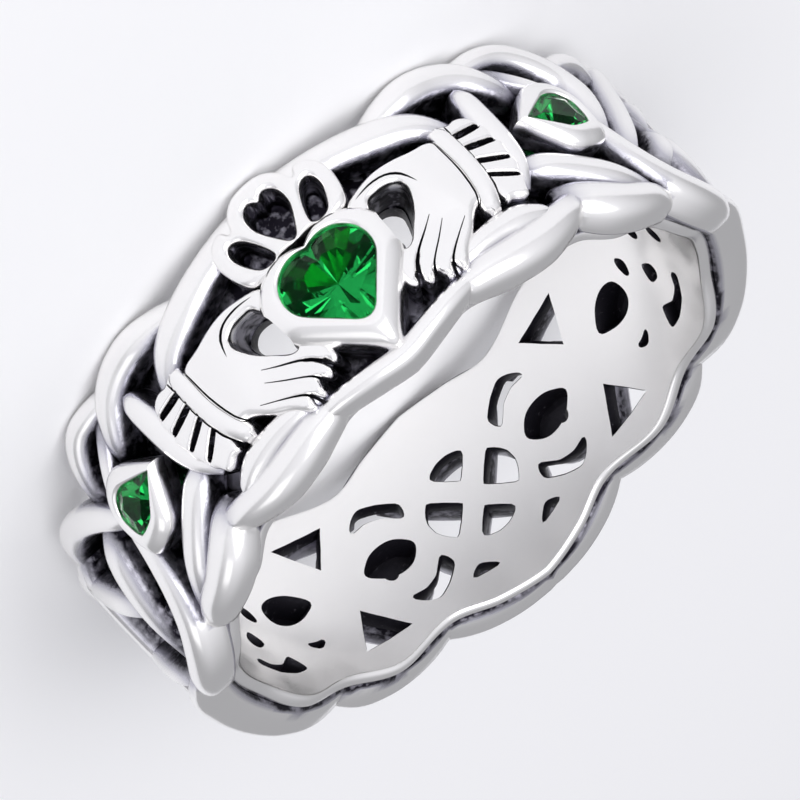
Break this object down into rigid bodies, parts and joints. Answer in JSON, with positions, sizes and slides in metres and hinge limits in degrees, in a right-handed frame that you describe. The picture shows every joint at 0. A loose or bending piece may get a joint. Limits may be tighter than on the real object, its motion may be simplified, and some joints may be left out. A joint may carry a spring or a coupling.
{
  "type": "finger ring with a crowned heart",
  "caption": "Silver finger ring with a crowned heart held by two hands, pierced knotwork strands and green stones.",
  "frame": {"origin": "on the axis of the finger hole, at the middle of the band's width", "axes": "+Z along the finger hole, towards the rim that the heart's tip points to; -Y outwards through the middle of the heart; +X to the right of someone who looks at the heart with its tip up"},
  "size_m": [0.0206, 0.0213, 0.0071],
  "materials": {
    "silver": "cast sterling silver, polished, with black oxide in the recesses and on the walls of the openings",
    "green_stone": "polished and facetted emerald green stone"
  },
  "bodies": {
    "root": {"ring_body": "silver", "heart_stone": "green_stone", "side_stone_left": "green_stone", "side_stone_right": "green_stone"}
  },
  "joints": []
}
